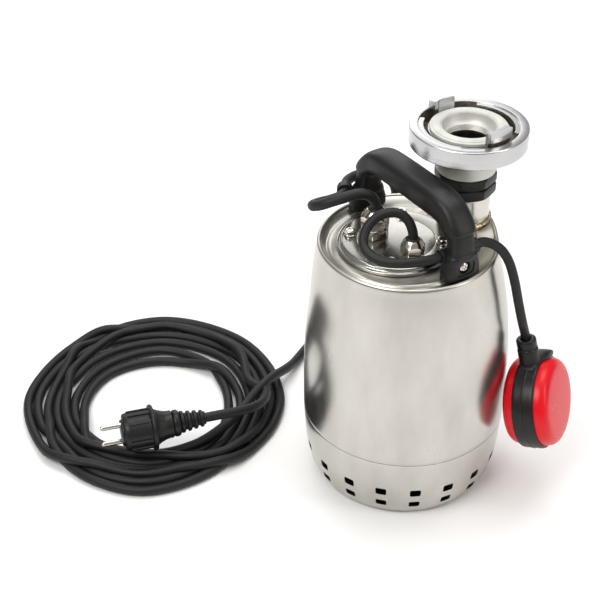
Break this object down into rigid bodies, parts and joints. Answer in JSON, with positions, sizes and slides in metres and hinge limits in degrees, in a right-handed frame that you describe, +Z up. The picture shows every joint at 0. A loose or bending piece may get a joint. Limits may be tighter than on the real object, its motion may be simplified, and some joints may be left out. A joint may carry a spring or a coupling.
{
  "type": "submersible sump pump",
  "caption": "Stainless submersible sump pump with a U handle, claw hose coupling, tethered float switch, cable glands and a coiled mains lead with a two-pin plug.",
  "frame": {"origin": "on the barrel's axis, at the underside of the strainer, which stands on the floor", "axes": "+Z up along the barrel's axis, +X to the discharge and float side, +Y to the rear"},
  "size_m": [0.5073, 0.2972, 0.343],
  "materials": {
    "brushed_stainless": "brushed",
    "polished_stainless": "polished",
    "nickel_brass": "nickel plated",
    "cast_aluminium": "cast and machined",
    "black_plastic": "satin",
    "black_rubber_cable": "matt",
    "red_float_plastic": "gloss",
    "offwhite_gasket": "smooth",
    "seal_rubber": "matt",
    "bearing_steel": "ground",
    "lamination_steel": "plain",
    "enamelled_copper": "enamelled",
    "white_plastic": "satin",
    "seal_graphite": "ground"
  },
  "bodies": {
    "pump": {"adapter_nut": "black_plastic", "cable_clamp": "black_plastic", "cable_eyelet": "black_plastic", "check_valve_seat": "black_plastic", "coupling_body": "cast_aluminium", "coupling_gasket": "offwhite_gasket", "cover_bolt_1": "nickel_brass", "cover_bolt_2": "nickel_brass", "cover_bolt_3": "nickel_brass", "cover_bolt_4": "nickel_brass", "cover_seal": "seal_rubber", "discharge_adapter": "black_plastic", "discharge_socket": "brushed_stainless", "float_gland_body": "nickel_brass", "float_gland_nut": "nickel_brass", "float_lead": "black_rubber_cable", "handle": "black_plastic", "handle_screw_front": "nickel_brass", "handle_screw_rear": "nickel_brass", "lower_bearing_bracket": "cast_aluminium", "lower_bearing_outer_ring": "bearing_steel", "lower_winding": "enamelled_copper", "mains_cable": "black_rubber_cable", "mains_coil": "black_rubber_cable", "mains_gland_body": "nickel_brass", "mains_gland_nut": "nickel_brass", "motor_cover": "polished_stainless", "motor_housing": "brushed_stainless", "outer_jacket": "brushed_stainless", "plug_body": "black_plastic", "plug_lead": "black_rubber_cable", "plug_pins": "nickel_brass", "plug_strain_relief": "black_plastic", "pump_housing": "brushed_stainless", "run_capacitor": "white_plastic", "shaft_seal_seat": "white_plastic", "stator_core": "lamination_steel", "strainer": "brushed_stainless", "upper_bearing_bracket": "cast_aluminium", "upper_bearing_outer_ring": "bearing_steel", "upper_winding": "enamelled_copper"},
    "rotor": {"motor_shaft": "bearing_steel", "rotor_core": "lamination_steel", "impeller": "brushed_stainless", "impeller_nut": "nickel_brass", "shaft_seal_head": "seal_graphite", "shaft_seal_spring": "bearing_steel", "lower_bearing_inner_ring": "bearing_steel", "upper_bearing_inner_ring": "bearing_steel"},
    "bearing_cages": {"lower_bearing_cage": "bearing_steel", "upper_bearing_cage": "bearing_steel"},
    "valve_disc": {"check_valve_disc": "seal_rubber"},
    "float": {"float_shell_outer": "red_float_plastic", "float_shell_inner": "red_float_plastic", "float_band": "black_plastic", "float_sleeve": "black_plastic", "float_switch_unit": "white_plastic", "float_cable": "black_rubber_cable"},
    "switch_ball": {"float_ball": "bearing_steel"}
  },
  "joints": [
    {"name": "rotor_spin", "type": "hinge", "parent": "pump", "child": "rotor", "pos_m": [-0.0135, -0.0085, 0.0728], "axis": [0, 0, 1], "continuous": true},
    {"name": "cage_spin", "type": "hinge", "parent": "pump", "child": "bearing_cages", "pos_m": [-0.0135, -0.0085, 0.0728], "axis": [0, 0, 1], "continuous": true},
    {"name": "valve_lift", "type": "slide", "parent": "pump", "child": "valve_disc", "axis": [0, 0, 1], "range_m": [0, 0.007]},
    {"name": "float_swing", "type": "hinge", "parent": "pump", "child": "float", "pos_m": [0.049, -0.038, 0.259], "axis": [0.112, -0.9937, 0], "range_deg": [0, 105], "deforming": ["float_cable"]},
    {"name": "ball_roll", "type": "slide", "parent": "float", "child": "switch_ball", "axis": [-0.2295, 0.106, 0.9675], "range_m": [0, 0.013]}
  ],
  "couplings": [
    {"joint": "cage_spin", "follows": "rotor_spin", "ratio": 0.4167}
  ]
}
